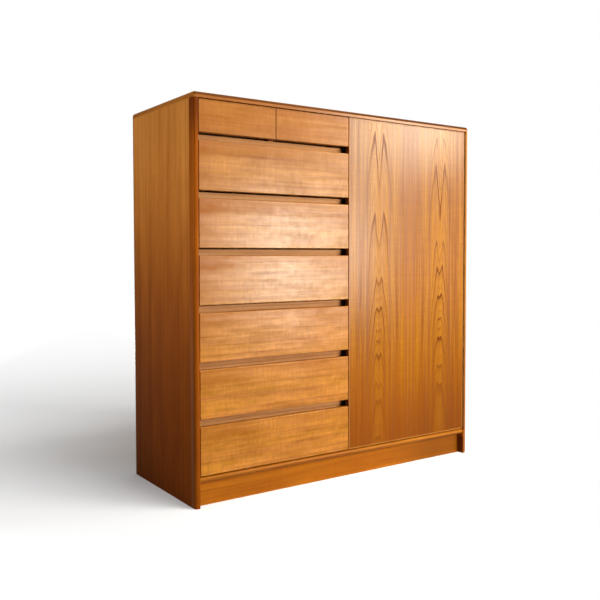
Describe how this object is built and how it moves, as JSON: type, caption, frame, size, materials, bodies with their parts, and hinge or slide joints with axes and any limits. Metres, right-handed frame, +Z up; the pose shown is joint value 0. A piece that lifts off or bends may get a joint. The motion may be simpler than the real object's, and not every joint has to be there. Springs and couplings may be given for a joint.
{
  "type": "highboy",
  "caption": "Tall teak chest on a recessed plinth: small and wide drawers opened by finger slots on the left, one tall hinged door with shelves behind it on the right.",
  "frame": {"origin": "centre of the footprint on the floor, under the middle of the bounding box", "axes": "+Z up, -Y towards the drawer fronts and the door, +X to the right as seen from the front, so the drawers are at -X and the door at +X"},
  "size_m": [1.182, 0.472, 1.27],
  "materials": {
    "teak_veneer": "oiled teak veneer, satin",
    "front_veneer": "oiled teak veneer, grain along the front, satin",
    "door_veneer": "oiled crown-cut teak veneer, upright grain, satin",
    "solid_teak": "oiled solid teak, satin",
    "black_stain": "black-stained lipping, matte",
    "inner_veneer": "pale veneer on board, matte lacquer",
    "drawer_wood": "birch, clear matte lacquer",
    "beech": "planed beech, waxed",
    "ply_sheet": "thin plywood, matte",
    "brass": "aged brass, satin",
    "steel": "zinc-plated steel",
    "catch_plastic": "brown moulded plastic, matte"
  },
  "bodies": {
    "case": {"left_side": "teak_veneer", "right_side": "teak_veneer", "front_lippings": "solid_teak", "back_strips": "solid_teak", "top_panel": "teak_veneer", "top_front_lipping": "solid_teak", "top_end_lippings": "solid_teak", "bottom_panel": "teak_veneer", "bottom_nosing": "solid_teak", "plinth_front": "teak_veneer", "plinth_back": "teak_veneer", "partition": "inner_veneer", "partition_lipping": "black_stain", "small_divider": "solid_teak", "back_sheet": "ply_sheet", "drawer_rails": "solid_teak", "drawer_runners": "beech", "shelves": "inner_veneer", "shelf_pins": "brass", "hinge_case_leaf": "brass", "hinge_pin": "steel", "hinge_case_screws": "brass", "magnet_catch": "catch_plastic"},
    "door": {"door_panel": "door_veneer", "door_lippings": "solid_teak", "hinge_door_leaf": "brass", "hinge_door_screws": "brass", "catch_plate": "steel"},
    "small_left": {"small_left_front": "front_veneer", "small_left_sides": "drawer_wood", "small_left_back": "drawer_wood", "small_left_bottom": "ply_sheet"},
    "small_right": {"small_right_front": "front_veneer", "small_right_sides": "drawer_wood", "small_right_back": "drawer_wood", "small_right_bottom": "ply_sheet"},
    "drawer_1": {"drawer_1_front": "front_veneer", "drawer_1_sides": "drawer_wood", "drawer_1_back": "drawer_wood", "drawer_1_bottom": "ply_sheet"},
    "drawer_2": {"drawer_2_front": "front_veneer", "drawer_2_sides": "drawer_wood", "drawer_2_back": "drawer_wood", "drawer_2_bottom": "ply_sheet"},
    "drawer_3": {"drawer_3_front": "front_veneer", "drawer_3_sides": "drawer_wood", "drawer_3_back": "drawer_wood", "drawer_3_bottom": "ply_sheet"},
    "drawer_4": {"drawer_4_front": "front_veneer", "drawer_4_sides": "drawer_wood", "drawer_4_back": "drawer_wood", "drawer_4_bottom": "ply_sheet"},
    "drawer_5": {"drawer_5_front": "front_veneer", "drawer_5_sides": "drawer_wood", "drawer_5_back": "drawer_wood", "drawer_5_bottom": "ply_sheet"},
    "drawer_6": {"drawer_6_front": "front_veneer", "drawer_6_sides": "drawer_wood", "drawer_6_back": "drawer_wood", "drawer_6_bottom": "ply_sheet"}
  },
  "joints": [
    {"name": "small_left_slide", "type": "slide", "parent": "case", "child": "small_left", "axis": [0, -1, 0], "range_m": [0, 0.33]},
    {"name": "small_right_slide", "type": "slide", "parent": "case", "child": "small_right", "axis": [0, -1, 0], "range_m": [0, 0.33]},
    {"name": "drawer_1_slide", "type": "slide", "parent": "case", "child": "drawer_1", "axis": [0, -1, 0], "range_m": [0, 0.33]},
    {"name": "drawer_2_slide", "type": "slide", "parent": "case", "child": "drawer_2", "axis": [0, -1, 0], "range_m": [0, 0.33]},
    {"name": "drawer_3_slide", "type": "slide", "parent": "case", "child": "drawer_3", "axis": [0, -1, 0], "range_m": [0, 0.33]},
    {"name": "drawer_4_slide", "type": "slide", "parent": "case", "child": "drawer_4", "axis": [0, -1, 0], "range_m": [0, 0.33]},
    {"name": "drawer_5_slide", "type": "slide", "parent": "case", "child": "drawer_5", "axis": [0, -1, 0], "range_m": [0, 0.33]},
    {"name": "drawer_6_slide", "type": "slide", "parent": "case", "child": "drawer_6", "axis": [0, -1, 0], "range_m": [0, 0.33]},
    {"name": "door_hinge", "type": "hinge", "parent": "case", "child": "door", "pos_m": [0.5752, -0.233, 0.674], "axis": [0, 0, 1], "range_deg": [0, 110]}
  ]
}
